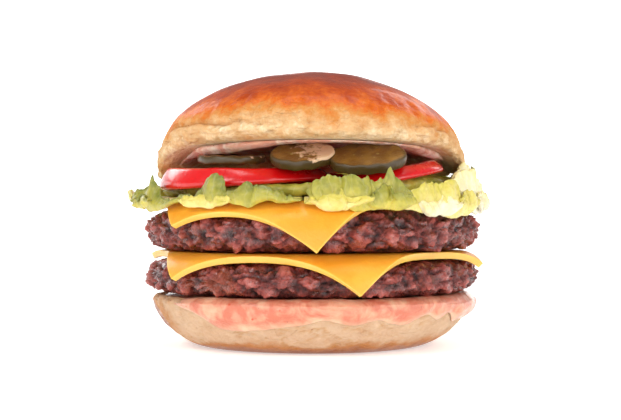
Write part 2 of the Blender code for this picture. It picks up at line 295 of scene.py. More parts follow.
def bunFinish(name, look):
    shop = Shop(name, Subsurface_Weight=0.12, Subsurface_Radius=(0.9, 0.5, 0.25),
                Subsurface_Scale=0.003, Coat_Roughness=0.12, Coat_IOR=1.32, IOR=1.4,
                Specular_IOR_Level=0.1)
    bake = shop.painted("bake")
    blotch = shop.clouds(7.0, 4, 0.6)
    mottle = shop.clouds(1.6, 4, 0.65, warp=0.6)
    streak = shop.clouds(2.4, 3, 0.6, stretch=(1, 1, 0.35))
    baked = bake + 0.60 * (blotch - 0.5) + 0.34 * (mottle - 0.5)
    baked = baked + 0.22 * (streak - 0.5) * shop.step(bake, 0.02, 0.4)
    colour = shop.ramp(baked, look["stops"])
    # the pits of the pores are darkened towards the shade colour: painted shade in the pores
    pore = shop.cells(2.1, stretch=(1, 1, 1.6))
    pit = (1 - shop.step(pore, 0.02, 0.22)) * (1 - shop.step(bake, 0.2, 0.6))
    colour = shop.mix(pit * 0.22, colour, look["shade"])
    # creases and crack lines are darkened towards the shade colour: painted shade in the folds and
    # cracks
    cleft = shop.painted("cleft")
    dull = 1 - shop.step(bake, 0.3, 0.8)
    crack = shop.cells(5.2, "DISTANCE_TO_EDGE", (0.6, 0.6, 1.5))
    seam = 1 - shop.step(crack + 0.16 * (mottle - 0.5), 0.0, 0.05)
    seam = seam * dull * shop.step(shop.clouds(6.0, 2, 0.6), 0.52, 0.62)
    colour = shop.mix(cleft * 0.6 + seam * 0.16, colour, look["shade"])
    sparse = shop.step(shop.clouds(14.0, 1), 0.52, 0.6)
    speck = (1 - shop.step(shop.cells(5.5), 0.035, 0.07)) * sparse
    colour = shop.mix(speck * 0.75, colour, tint(120, 40, 20))
    soft = shop.clouds(0.9, 3, 0.6)
    fine = shop.clouds(3.2, 4, 0.62, stretch=(1, 1, 1.8), warp=0.5)
    skin = shop.bump(fine * (0.3 + 0.7 * dull), 1.1)
    skin = shop.bump(soft * (0.25 + 0.75 * dull) - 0.5 * pit - 0.6 * seam, 0.26, skin)
    gloss = shop.step(baked, 0.35, 0.75)
    rough = 0.62 - 0.24 * gloss + 0.12 * (mottle - 0.5)
    return shop.wear(Base_Color=colour, Roughness=rough, Coat_Weight=gloss * 0.32, Normal=skin)


def heelWall(share):
    # the outer wall, from its foot at 0 to its rim at 1, as (out, up)
    turn = share * math.pi / 2
    base, slope = heelLook["baseRadius"], heelLook["slope"]
    out = base + (heelRadius - base) * math.sin(turn) ** (0.89 * slope)
    return out, heelTop * (1 - math.cos(turn) ** slope)


def heelSwell(azimuth):
    turn = math.radians(azimuth)
    return 1 + 0.008 * math.sin(2 * turn + 0.6) + 0.005 * math.sin(5 * turn)


heelRadius = heelLook["radius"]
heelFace = heelLook["face"]
heelRim = boxOf("heel")[1].z
heelTop = heelFace - 0.6  # where the wall ends and the lip starts
heelLip = [(heelRadius - 5.6, heelFace), (heelRadius - 4.0, heelFace + 0.5),
           (heelRadius - 2.2, heelRim - 0.1), (heelRadius - 0.7, heelTop + 0.9)]


def makeHeel():
    wallSteps, lipSteps = heelLook["wallSteps"], heelLook["lipSteps"]
    profile = [(0, 0), (12, 0), (24, 0), (32, 0)]
    profile += [heelWall(step / wallSteps) for step in range(wallSteps + 1)]
    rim = [(heelRadius, heelTop), *reversed(heelLip)]
    profile += [smoothPath(rim, step / lipSteps) for step in range(1, lipSteps + 1)]
    profile += [(40, heelFace), (26, heelFace), (12, heelFace), (0, heelFace)]
    bm = spun(profile, 300)
    bake = bm.verts.layers.float.new("bake")
    cleft = bm.verts.layers.float.new("cleft")
    for vert in bm.verts:
        azimuth, out = polar(vert.co)
        up = vert.co.z
        swell = 1 + (heelSwell(azimuth) - 1) * ease(out, 20, 40)
        vert.co.x *= swell
        vert.co.y *= swell
        ragged = cloud(vert.co, 9, 3, 3)
        foot = 1 - ease(up, 0.6, 5.2 + 2.5 * ragged)
        patch = near(azimuth, -82, 17) * near(up * 6, 62 + 10 * ragged, 40)
        tan = 0.18 * ease(up, 13, 17)
        vert[bake] = max(0.72 * foot + (0.2 if up < 0.5 else 0), 0.85 * patch, tan) + 0.10
        vert[cleft] = 0.0

    def wrinkle(vert):
        (azimuth, out), up = polar(vert.co), vert.co.z
        side = ease(out, 38, 46)
        spot = Vector((azimuth * 0.95, up * 2.6, 0))
        fold = abs(cloud(spot, 9.0, 3, 5))
        line = (1 - ease(fold, 0.0, 0.10)) * ease(cloud(vert.co, 16, 2, 8), -0.25, 0.25)
        # the fold lines are kept for painted shade in the crust's colour
        vert[cleft] = line * side * (1 - ease(vert[bake], 0.4, 0.7))
        soft = 0.55 * cloud(vert.co, 13, 3, 1) + 0.22 * cloud(vert.co, 3.4, 3, 2)
        flatTop = ease(up, 16.3, 16.9) * (out < 50)
        return side * ease(up, 0.2, 2.0) * (soft - 0.42 * line) * (1 - flatTop)

    pushed(bm, wrinkle)
    stops = [(0.0, heelLook["pale"]), (0.22, heelLook["cream"]), (0.5, heelLook["golden"]),
             (0.85, heelLook["brown"])]
    finish = bunFinish("heelCrust", {"stops": stops, "shade": tint(196, 146, 92)})
    return finished("heelBun", bm, finish, ["heel"])


def sauceFinish(name, deep, light, gloss=1.0):
    shop = Shop(name, Subsurface_Weight=0.25, Subsurface_Radius=(0.9, 0.35, 0.2),
                Subsurface_Scale=0.003, Coat_Roughness=0.12, IOR=1.42,
                Specular_IOR_Level=0.5 * gloss)
    swirl = shop.clouds(8.0, 4, 0.6, warp=1.2)
    creamy = shop.clouds(2.2, 3, 0.6)
    colour = shop.mix(shop.step(swirl + 0.35 * (creamy - 0.5), 0.38, 0.66), deep, light)
    thin = shop.painted("thin")
    colour = shop.mix(thin * 0.7, colour, tint(246, 206, 168))
    dot = shop.cells(2.6)
    grain = (1 - shop.step(dot, 0.05, 0.10)) * shop.step(shop.clouds(5.0, 1), 0.46, 0.56)
    colour = shop.mix(grain * 0.8, colour, tint(120, 40, 24))
    bit = (1 - shop.step(shop.cells(4.4), 0.06, 0.12)) * shop.step(shop.clouds(9.0, 1), 0.5, 0.6)
    colour = shop.mix(bit * 0.8, colour, tint(206, 70, 30))
    skin = shop.bump(shop.clouds(3.0, 4, 0.6, warp=0.6), 0.8)
    rough = 0.30 + 0.16 * creamy
    return shop.wear(Base_Color=colour, Roughness=rough, Normal=skin,
                     Coat_Weight=(0.35 + 0.4 * creamy) * gloss)


sauceLook = {
    "depth": 1.1, "flatRings": 5, "lipRings": 5, "wallRings": 22, "wallPart": 0.062,
    "deep": tint(210, 117, 88), "light": tint(228, 158, 126),
    # each drip's azimuth, its extra length in wallParts of the wall, and its spread
    "drips": [
        (-34, 2.6, 8), (-21, 3.9, 13), (-4, 2.4, 8), (14, 2.6, 9), (33, 3.2, 8), (50, 2.4, 5),
        (64, 3.2, 6), (76, 3.0, 8), (120, 2.4, 9), (152, 3.4, 10), (176, 2.4, 9), (210, 3.0, 10),
        (238, 1.2, 8),
    ],
}


def dripLength(azimuth):
    length = 2.1 + 0.5 * cloud((azimuth * 0.3, 0, 0), 3, 3, 4)
    for centre, more, spread in sauceLook["drips"]:
        length += more * near(azimuth, centre, spread)
    return max(0.5, length - 2.2 * near(azimuth, -80, 26))


def makeHeelSauce():
    # rings run over the heel's face and lip, then down its wall to where each drip ends
    flatRings, lipRings = sauceLook["flatRings"], sauceLook["lipRings"]
    wallRings = sauceLook["wallRings"]
    rings = range(flatRings + lipRings + wallRings)
    bm = spun([(ring, 0) for ring in rings] + [(ring, 1) for ring in reversed(rings)], 300)
    thin = bm.verts.layers.float.new("thin")
    lip = [*heelLip, heelWall(1)]
    for vert in bm.verts:
        (azimuth, out), side = polar(vert.co), vert.co.z
        ring = round(out)
        wobble = cloud((azimuth * 0.4, ring * 0.35, 0), 4, 3, 6)
        fat = sauceLook["depth"] + 0.45 * wobble
        down = 0.0
        if ring < flatRings:
            out, up = 49.0 * ring / flatRings, heelFace
            aside, above = 0.0, 1.0
        elif ring < flatRings + lipRings:
            share = (ring - flatRings) / lipRings
            out, up = smoothPath(lip, share)
            aside, above = 0.9 * share, 1 - 0.7 * share
        else:
            down = (ring - flatRings - lipRings) / (wallRings - 1)
            out, up = heelWall(1 - sauceLook["wallPart"] * down * dripLength(azimuth))
            aside, above = 0.97, 0.25 - 0.2 * down
            roll = near(azimuth, 73, 17)
            hang = 1.2 * roll * math.sin(math.pi * down ** 1.5)
            fat *= 1.0 + 0.3 * math.sin(math.pi * down) + hang
            fat *= math.sqrt(max(0.0, 1 - down ** 5))
            for dent in (45, 59):
                fat *= 1 - 0.75 * near(azimuth, dent, 2.2) * near(up, 13.4, 1.3)
        fat = max(fat * (1 - 0.6 * near(azimuth, -90, 40) * (ring >= flatRings)), 0.12)
        swell = 1 + (heelSwell(azimuth) - 1) * ease(out, 20, 40)
        bare = 1 - ease(apart(azimuth, -92), 36, 50)
        lift = 0.3 + fat * side - 1.4 * bare * ease(ring, flatRings, flatRings + 2)
        vert.co = atAzimuth(azimuth, out * swell + aside * lift, up + above * lift)
        worn = 0.5 * ease(cloud(vert.co, 7, 2, 9), 0.15, 0.5)
        vert[thin] = ease(down, 0.72, 1.0) * (0.6 + 0.4 * wobble) + worn
    finish = sauceFinish("pinkSauce", sauceLook["deep"], sauceLook["light"])
    return finished("heelSauce", bm, finish, ["heel_sauce"])


pattyLook = {
    "radius": 57.0, "shoulder": 48.7, "edgeSteps": 36, "crag": 4.2, "grit": 0.5,
    # the darkest stop is partly real charring and partly painted shade in the clefts between lumps;
    # the pink stop is a painted highlight on the lump tops
    "char": tint(44, 14, 12), "dark": tint(108, 42, 36), "meat": tint(170, 80, 70),
    "pink": tint(212, 136, 126), "brown": tint(158, 74, 46),
}


def pattyOutline(azimuth):
    turn = math.radians(azimuth)
    return 1 + 0.008 * math.sin(2 * turn + 1) + 0.005 * math.sin(3 * turn + 2)


def meatFinish():
    shop = Shop("grilledMeat", IOR=1.45, Coat_Roughness=0.16, Subsurface_Weight=0.05,
                Subsurface_Radius=(0.8, 0.25, 0.15), Subsurface_Scale=0.002)
    crag = shop.painted("crag")
    tone = shop.clouds(6.5, 4, 0.62)
    mince = shop.clouds(1.5, 4, 0.65, warp=0.7)
    # the lump height darkens the clefts, painted shade, and lightens the lump tops to pink, a
    # painted highlight
    colour = shop.ramp(0.85 * crag + 0.8 * (tone - 0.5) + 0.5 * (mince - 0.5), [
        (0.10, pattyLook["char"]), (0.34, pattyLook["dark"]), (0.62, pattyLook["meat"]),
        (0.98, pattyLook["pink"])])
    rust = shop.step(shop.clouds(9.0, 3, 0.6, warp=0.4), 0.52, 0.66)
    colour = shop.mix(rust * 0.55, colour, pattyLook["brown"])
    strand = shop.cells(1.3, "SMOOTH_F1", Smoothness=0.6)
    skin = shop.bump(mince, 0.9)
    skin = shop.bump(1 - strand, 0.55, skin)
    skin = shop.bump(shop.clouds(0.5, 2, 0.6), 0.14, skin)
    wet = shop.step(shop.clouds(3.2, 3, 0.6), 0.42, 0.62)
    rough = 0.54 - 0.28 * wet + 0.10 * (mince - 0.5)
    return shop.wear(Base_Color=colour, Roughness=rough, Coat_Weight=wet * 0.85, Normal=skin)


def makePatty(name, node, seed, finish):
    low, high = boxOf(node)
    depth, flat = high.z - low.z, (0, 14, 26, 34, 40, 44, 46.5)
    radius, shoulder, edgeSteps = pattyLook["radius"], pattyLook["shoulder"], pattyLook["edgeSteps"]
    profile = [(out, 0) for out in flat]
    for step in range(edgeSteps + 1):
        turn = math.pi * (step / edgeSteps - 0.5)
        out = shoulder + (radius - shoulder) * math.cos(turn)
        profile.append((out, depth * (0.5 + 0.5 * math.sin(turn))))
    profile += [(out, depth) for out in reversed(flat)]
    bm = spun(profile, 470)
    crag = bm.verts.layers.float.new("crag")
    for vert in bm.verts:
        azimuth, out = polar(vert.co)
        vert.co = atAzimuth(azimuth, out * pattyOutline(azimuth), vert.co.z + low.z)
        vert.co.x += 0.5

    def craggy(vert):
        out = math.hypot(vert.co.x, vert.co.y)
        spot = Vector((vert.co.x, vert.co.y, vert.co.z * 1.25))
        big = pebbles(spot, 6.4, seed)
        small = pebbles(spot, 2.6, seed + 3)
        torn = cloud(spot, 5.0, 3, seed + 5)
        lump = 0.46 * big + 0.26 * small + 0.28 * (0.5 + torn)
        # the lump height, kept for the painted shade in the clefts and the painted highlight on the
        # lump tops
        vert[crag] = lump
        share = ease(out, 44, 53)
        above = ease(vert.co.z, high.z - 2.2, high.z)
        below = 1 - ease(vert.co.z, low.z, low.z + 1.4)
        rise = pattyLook["crag"] * (lump - 0.62) + pattyLook["grit"] * cloud(spot, 1.5, 2, seed)
        pressed = max(above, below)
        return share * (min(rise, 1.4) * (1 - 0.6 * pressed) - 0.4 * pressed + 0.3)

    pushed(bm, craggy)
    return finished(name, bm, finish, [node])


cheeseLook = {
    "depth": 2.2, "bendStart": 50.9, "bendRadius": 9.6, "hang": math.radians(80), "pull": 2.2,
    # each corner's azimuth and its distance out before the slice bends
    "upper": [(1.7, 70.5), (72, 56.0), (148, 63), (-152, 61), (-98, 56), (-45.5, 63)],
    "lower": [(14, 67), (78, 59.6), (152, 62), (-148, 64), (-99, 56), (-45.5, 63)],
    # the edge colour is a painted highlight along the slice's rounded edge
    "face": tint(252, 174, 53), "deep": tint(245, 158, 37), "edge": tint(253, 193, 89),
}


def cheeseFinish():
    shop = Shop("meltedCheese", IOR=1.45, Subsurface_Weight=0.35,
                Subsurface_Radius=(1.0, 0.55, 0.12), Subsurface_Scale=0.004, Coat_Roughness=0.3,
                Coat_Weight=0.12)
    soft = shop.clouds(14.0, 3, 0.5)
    grain = shop.clouds(1.1, 3, 0.6)
    patch = shop.step(soft + 0.2 * (grain - 0.5), 0.35, 0.65)
    colour = shop.mix(patch, cheeseLook["deep"], cheeseLook["face"])
    # the band along the outline is lightened: painted highlight on the rounded edge
    rim = shop.painted("rim")
    colour = shop.mix(rim * 0.85, colour, cheeseLook["edge"])
    sparse = shop.step(shop.clouds(6.0, 1), 0.5, 0.6)
    bubble = (1 - shop.step(shop.cells(5.2), 0.03, 0.08)) * sparse
    skin = shop.bump(soft, 0.9)
    skin = shop.bump(grain - 0.8 * bubble, 0.10, skin)
    rough = 0.36 + 0.12 * (soft - 0.5) + 0.06 * grain
    return shop.wear(Base_Color=colour, Roughness=rough, Normal=skin)


def draped(spot):
    start, radius, hang = cheeseLook["bendStart"], cheeseLook["bendRadius"], cheeseLook["hang"]
    azimuth, far = polar(spot)
    over = max(0.0, far - start)
    bend = min(over / radius, hang)
    straight = over - bend * radius
    out = radius * math.sin(bend) + straight * math.cos(hang)
    drop = radius * (1 - math.cos(bend)) + straight * math.sin(hang)
    return atAzimuth(azimuth, (min(far, start) + out) * pattyOutline(azimuth), -drop)


def makeCheese(name, node, corners, base, finish, seed):
    # the outline is drawn first and filled inwards, band by band, to a flat middle
    steps, bands, flat = 26, 30, 40.0
    outline = []
    for first, second in zip(corners, corners[1:] + corners[:1]):
        start, end = atAzimuth(*first, 0), atAzimuth(*second, 0)
        for step in range(steps):
            spot = start.lerp(end, step / steps)
            pull = cheeseLook["pull"] * math.sin(math.pi * step / steps)
            outline.append(spot * (1 - pull / spot.length))
    bm = bmesh.new()
    rim = bm.verts.layers.float.new("rim")
    verts = [bm.verts.new(spot) for spot in outline]
    edges = [bm.edges.new(pair) for pair in zip(verts, verts[1:] + verts[:1])]
    # the outline is marked for the painted highlight on the rounded edge
    for vert in verts:
        vert[rim] = 1.0
    for band in range(1, bands + 1):
        grown = bmesh.ops.extrude_edge_only(bm, edges=edges)["geom"]
        ring = [item for item in grown if isinstance(item, bmesh.types.BMVert)]
        inRing = set(ring)
        edges = [item for item in grown
                 if isinstance(item, bmesh.types.BMEdge) and set(item.verts) <= inRing]
        share = 1 - (1 - band / bands) ** 0.8 if band < bands else 1.0
        before = 1 - (1 - (band - 1) / bands) ** 0.8
        for vert in ring:
            far = vert.co.length
            whole = (far - before * flat) / (1 - before) if before < 1 else far
            vert.co *= (whole + (flat - whole) * share) / far
            vert[rim] = 0.0
    bmesh.ops.contextual_create(bm, geom=edges)
    for vert in bm.verts:
        far = vert.co.length
        vert.co = draped(vert.co)
        ripple = cloud(vert.co, 15, 2, seed) * 0.35 * ease(far, 44, 58)
        vert.co += atAzimuth(bearing(vert.co.x, vert.co.y), ripple, base - 0.2 * ripple)
    walled(bm, cheeseLook["depth"])
    piece = finished(name, bm, finish, [node])
    soften = piece.modifiers.new("soften", "BEVEL")
    soften.width = 0.75 * toMetres
    soften.segments = 3
    soften.limit_method = "ANGLE"
    soften.angle_limit = math.radians(55)
    return piece


leafLook = {
    "rib": tint(230, 225, 198), "pale": tint(233, 214, 136), "green": tint(201, 186, 73),
    "deep": tint(116, 120, 33),
    "bed": 49.8, "frillRadius": 60, "thickness": 0.5,
}


def leafFinish(name, white, dark):
    # white and dark shift the whole leaf towards its rib or towards its green edge
    shop = Shop(name, IOR=1.42, Subsurface_Weight=0.12, Subsurface_Radius=(0.5, 0.8, 0.15),
                Subsurface_Scale=0.002, Coat_Roughness=0.25)
    along = shop.painted("along")
    across = shop.painted("across")
    tone = shop.clouds(5.0, 3, 0.6)
    fine = shop.clouds(1.2, 3, 0.6)
    green = along * (0.62 + dark) + 0.5 * (tone - 0.5) + 0.15 * (fine - 0.5) + 0.22 - white
    colour = shop.ramp(green, [(0.05, leafLook["rib"]), (0.34, leafLook["pale"]),
                               (0.62, leafLook["green"]), (0.98, leafLook["deep"])])
    wander = shop.clouds(4.0, 2, 0.5)
    branch = shop.add("ShaderNodeMath", {"operation": "PINGPONG"},
                      {0: across + 2.2 * wander + along * 1.6, 1: 1.1})
    vein = 1 - shop.step(branch, 0.0, 0.22)
    colour = shop.mix(vein * 0.07, colour, leafLook["rib"])
    blister = shop.cells(2.0, "SMOOTH_F1", Smoothness=0.7)
    skin = shop.bump(blister * 0.8 + vein * 0.08, 0.7)
    skin = shop.bump(fine, 0.18, skin)
    return shop.wear(Base_Color=colour, Roughness=0.36 + 0.2 * fine,
                     Coat_Weight=0.25 + 0.3 * tone, Normal=skin)


def makeLeaf(name, nodes, leaf, finish, seed):
    # the leaf lies flat under the tomato, dips at its fold and curls up outside to a torn frill
    start, end = leaf["span"]
    columns, rows = int(abs(end - start) * 3 * dense) + 8, int(52 * dense)
    bm = bmesh.new()
    bmesh.ops.create_grid(bm, x_segments=columns, y_segments=rows, size=0.5)
    along = bm.verts.layers.float.new("along")
    across = bm.verts.layers.float.new("across")
    bed = leaf.get("bed", leafLook["bed"])
    ruffle, frillRadius = leaf["ruffle"], leafLook["frillRadius"]
    for vert in bm.verts:
        u, v = vert.co.x + 0.5, vert.co.y + 0.5
        azimuth = start + (end - start) * u
        arc = math.radians(azimuth) * frillRadius
        taper = math.sin(math.pi * (0.03 + 0.94 * u)) ** leaf.get("blunt", 0.4)
        top = leaf["top"] + leaf.get("torn", 1.6) * cloud((arc, 0, 0), 3.4, 4, seed)
        top += leaf.get("lobe", 1.4) * cloud((arc, 3, 0), 8.0, 1, seed)
        top += 0.7 * abs(cloud((arc, 7, 0), 1.5, 1, seed))
        for centre, rise, spread in leaf.get("crests", []):
            top += rise * near(azimuth, centre, spread)
        low = leaf["low"] + leaf.get("wave", 1.5) * cloud((arc, 9, 0), 8, 2, seed)
        low = bed + (low - bed) * taper
        top = low + max(0.4, top - low) * taper
        fold = leaf["fold"]
        reach = leaf["reach"] + 0.35 * ruffle * cloud((arc, 30, 0), 9, 2, seed)
        lip = reach - leaf.get("inward", 1.5) + 1.1 * ruffle * cloud((arc, 60, 0), 6, 2, seed)
        path = [(leaf["inner"], bed), (0.5 * (leaf["inner"] + fold), bed), (fold - 3, bed),
                (fold, 0.5 * (bed + low) + 0.2), (0.5 * (fold + reach) + 0.3, low),
                (reach, low + 0.3 * (top - low)),
                (0.5 * (reach + lip), low + 0.7 * (top - low)), (lip, top)]
        out, up = smoothPath(path, v)
        loose = ease(v, 0.4, 0.85) * ruffle
        spot = Vector((arc, 14 * v, 0))
        wave = math.sin(math.tau * leaf["waves"] * u + 2.0 * cloud((arc, 5, 0), 12, 1, seed))
        out += loose * (0.5 * wave + 0.75 * cloud(spot, 4.5, 3, seed + 2) - 0.3)
        up += loose * 0.55 * cloud(spot, 5.0, 3, seed + 4)
        up += loose * 0.25 * cloud((arc, 0, 0), 2.0, 2, seed)
        sway = math.cos(math.tau * 1.5 * leaf["waves"] * u)
        slide = loose * (0.9 * cloud(spot, 5.5, 2, seed + 6) + 0.5 * sway)
        vert.co = atAzimuth(azimuth + math.degrees(slide / frillRadius), out, up)
        vert[along] = v
        vert[across] = (u - 0.5) * abs(end - start) * 0.9
    bmesh.ops.recalc_face_normals(bm, faces=bm.faces)
    piece = finished(name, bm, finish, nodes, closed=False)
    wall = piece.modifiers.new("wall", "SOLIDIFY")
    wall.thickness = leaf.get("thick", leafLook["thickness"]) * toMetres
    wall.offset = 0.0
    return piece


tomatoLook = {
    "skin": tint(214, 13, 17), "flesh": tint(226, 52, 40), "core": tint(240, 130, 90),
    "seed": tint(236, 178, 90), "edgeSteps": 16,
}


def tomatoFinish():
    shop = Shop("ripeTomato", IOR=1.45, Subsurface_Weight=0.3, Subsurface_Radius=(1.0, 0.2, 0.1),
                Subsurface_Scale=0.004, Coat_Roughness=0.12)
    reach = shop.painted("reach")
    soft = shop.clouds(7.0, 3, 0.5)
    fine = shop.clouds(0.9, 3, 0.6)
    flesh = shop.mix(shop.step(soft, 0.4, 0.62), tomatoLook["flesh"], tomatoLook["core"])
    pocket = shop.step(shop.cells(11.0, "SMOOTH_F1", Smoothness=0.3), 0.25, 0.5)
    flesh = shop.mix(pocket * 0.6, tomatoLook["flesh"], flesh)
    pip = (1 - shop.step(shop.cells(3.0), 0.16, 0.24)) * pocket
    flesh = shop.mix(pip * 0.7, flesh, tomatoLook["seed"])
    colour = shop.mix(shop.step(reach + 0.1 * (fine - 0.5), 0.78, 0.88), flesh, tomatoLook["skin"])
    skin = shop.bump(soft, 0.5)
    skin = shop.bump(fine, 0.07, skin)
    return shop.wear(Base_Color=colour, Roughness=0.20 + 0.12 * soft,
                     Coat_Weight=0.4 + 0.25 * soft, Normal=skin)


def tilted(bm, centre, base, tilt):
    turn = Euler([math.radians(part) for part in tilt]).to_matrix().to_4x4()
    bmesh.ops.transform(bm, matrix=Matrix.Translation((*centre, base)) @ turn, verts=bm.verts)


def makeTomato(node, cut, finish, seed):
    radius, depth, edgeSteps = cut["radius"], cut["depth"], tomatoLook["edgeSteps"]
    profile = [(radius * part, 0) for part in (0, 0.3, 0.6, 0.82)]
    profile += [(radius - 2.6, 0), (radius - 1.2, 0)]
    for step in range(1, edgeSteps):
        share = step / edgeSteps
        out = radius - 3.0 * share ** 1.6 - 0.8 * (1 - share) ** 7
        profile.append((out, depth * (0.02 + 0.96 * share)))
    inner = radius - 3.4
    profile += [(inner - 0.1, depth), (inner - 1.2, depth + 0.05)]
    profile += [(radius * part, depth) for part in (0.6, 0.3, 0)]
    bm = spun(profile, 160)
    reach = bm.verts.layers.float.new("reach")
    for vert in bm.verts:
        azimuth, out = polar(vert.co)
        vert[reach] = 1.0 if 0.001 < vert.co.z < depth - 0.02 else min(0.99, out / inner * 0.86)
        turn = math.radians(azimuth)
        uneven = 1 + 0.012 * math.sin(3 * turn + seed) + 0.006 * math.sin(7 * turn)
        wave = 0.25 * cloud((vert.co.x, vert.co.y, 0), 14, 2, seed)
        vert.co.x *= uneven
        vert.co.y *= uneven
        share = vert.co.z / depth
        vert.co.z += wave * share + cut.get("wedge", 0) * (1 - share) * (vert.co.x / radius)
    tilted(bm, cut["centre"], cut["base"], cut["tilt"])
    return finished(pieceName(node), bm, finish, [node])


pickleLook = {
    "flesh": tint(114, 74, 19), "pale": tint(142, 101, 36), "skin": tint(68, 50, 13),
    "seed": tint(176, 154, 84), "edgeSteps": 12,
}


def pickleFinish():
    shop = Shop("pickledCucumber", IOR=1.42, Subsurface_Weight=0.25,
                Subsurface_Radius=(0.8, 0.7, 0.15), Subsurface_Scale=0.004, Coat_Roughness=0.08)
    reach = shop.painted("reach")
    soft = shop.clouds(4.0, 3, 0.55)
    fine = shop.clouds(0.8, 3, 0.6)
    colour = shop.mix(shop.step(soft, 0.38, 0.68), pickleLook["flesh"], pickleLook["pale"])
    inside = 1 - shop.step(reach, 0.5, 0.65)
    pip = (1 - shop.step(shop.cells(2.4, stretch=(1, 1, 0.6)), 0.14, 0.26)) * inside
    colour = shop.mix(pip * 0.6, colour, pickleLook["seed"])
    rind = shop.step(reach + 0.08 * (fine - 0.5), 0.86, 0.98)
    colour = shop.mix(rind, colour, pickleLook["skin"])
    smear = shop.painted("smear")
    smeared = shop.step(smear + 0.9 * (shop.clouds(2.6, 3, 0.6) - 0.5), 0.45, 0.6)
    colour = shop.mix(smeared, colour, tint(222, 186, 150))
    skin = shop.bump(soft, 0.5)
    skin = shop.bump(fine, 0.12, skin)
    return shop.wear(Base_Color=colour, Roughness=0.34 + 0.2 * fine,
                     Coat_Weight=0.25 + 0.25 * soft, Normal=skin)


def makePickle(node, cut, finish):
    radius, depth, seed = cut["radius"], cut["depth"], cut["seed"]
    edgeSteps = pickleLook["edgeSteps"]
    flat = (0, 0.2, 0.4, 0.6, 0.75, 0.88)
    profile = [(radius * part, 0) for part in flat]
    for step in range(edgeSteps + 1):
        turn = math.pi * (step / edgeSteps - 0.5)
        profile.append((radius - 0.6 + 0.6 * math.cos(turn), depth * (0.5 + 0.5 * math.sin(turn))))
    profile += [(radius * part, depth) for part in reversed(flat)]
    bm = spun(profile, 96)
    reach = bm.verts.layers.float.new("reach")
    smear = bm.verts.layers.float.new("smear")
    for vert in bm.verts:
        azimuth, out = polar(vert.co)
        vert[reach] = min(1.0, out / radius)
        smeared = (vert.co.z > 0.7 * depth) * (0.6 + 0.4 * vert.co.x / radius)
        vert[smear] = cut["smear"] * smeared
        uneven = 1 + 0.02 * math.sin(math.radians(2 * azimuth) + seed)
        vert.co.x *= uneven
        vert.co.y *= uneven * cut["oval"]
        ridge = 0.16 * math.sin(vert.co.x * math.tau / 5.2 + seed)  # the wavy cutter's mark
        vert.co.z += ridge + 0.25 * cloud((vert.co.x, vert.co.y, 0), 9, 2, seed)
    tilted(bm, cut["centre"], cut["base"], cut["tilt"])
    return finished(pieceName(node), bm, finish, [node])


crownLook = {
    "radius": 52.5, "height": 29.0, "widest": 3.6, "seat": 63.6, "hollow": 4.0, "tipBack": 4.2,
    "sag": {-101: 10.6, 101: 7.0}, "sagSpread": 50, "lean": -0.8, "shift": 0.5, "slope": 1.163,
    "rimSteps": 18, "domeSteps": 70,
    "dough": tint(240, 216, 176), "cream": tint(218, 177, 128), "golden": tint(206, 137, 71),
    "orange": tint(206, 99, 25), "brown": tint(176, 66, 9), "deep": tint(138, 44, 5),
}


def crownLevel(y):
    return crownLook["seat"] - crownLook["tipBack"] * y / crownLook["radius"]


def crownSeat(x, y):
    azimuth, out = bearing(x, y), min(1.0, math.hypot(x, y) / crownLook["radius"])
    sag = sum(depth * (1 - ease(apart(azimuth, side), 8, crownLook["sagSpread"]))
              for side, depth in crownLook["sag"].items())
    return crownLevel(y) + crownLook["hollow"] * (1 - out ** 2) - sag * out ** 6


def onCrown(azimuth, out, up):
    spot = atAzimuth(azimuth, out, 0)
    level, seat = crownLevel(spot.y), crownSeat(spot.x, spot.y)
    share = up / crownLook["height"]
    spot.z = up + level + (seat - level) * max(0.0, 1 - share) ** 1.5
    spot.x += crownLook["shift"] + crownLook["lean"] * math.sin(math.pi * share)
    return spot


